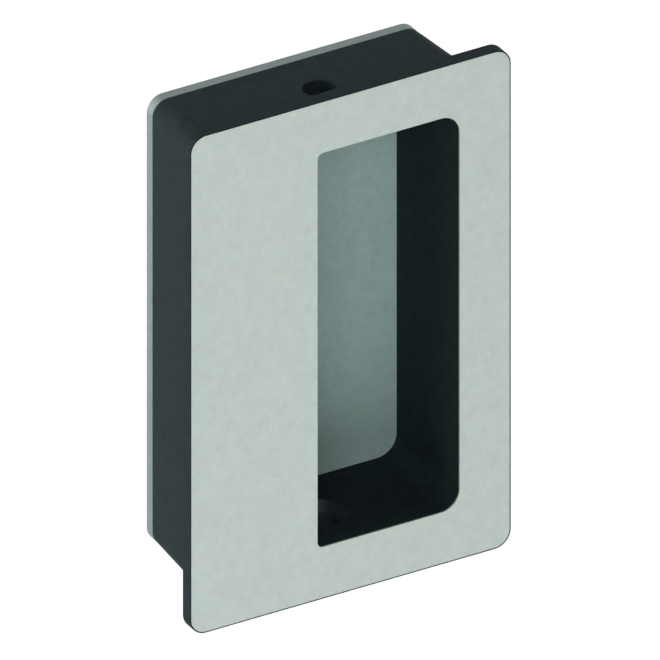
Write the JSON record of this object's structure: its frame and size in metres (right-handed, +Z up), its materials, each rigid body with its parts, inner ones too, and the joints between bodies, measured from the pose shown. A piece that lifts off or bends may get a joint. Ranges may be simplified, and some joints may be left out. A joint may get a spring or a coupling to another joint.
{
  "type": "recessed pull handle",
  "caption": "Rectangular recessed pull handle: dark moulded housing with a flange, flush metal cover with an offset finger opening, metal rear plate and countersunk screw holes in the recess.",
  "frame": {"origin": "middle of the flange's back face, in the plane that lies on the door's face", "axes": "+Y into the door, away from the user; +Z up along the handle's long side; +X to the right as the user sees it, towards the opening's wide-cornered side"},
  "size_m": [0.09, 0.0341, 0.14],
  "materials": {
    "black_moulding": "matte dark grey-green moulding, lightly eroded surface",
    "satin_cover": "satin stainless sheet with a faint cloudy grain",
    "satin_plate": "duller satin stainless plate with a faint cloudy grain"
  },
  "bodies": {
    "root": {"housing": "black_moulding", "front_cover": "satin_cover", "rear_plate": "satin_plate"}
  },
  "joints": []
}
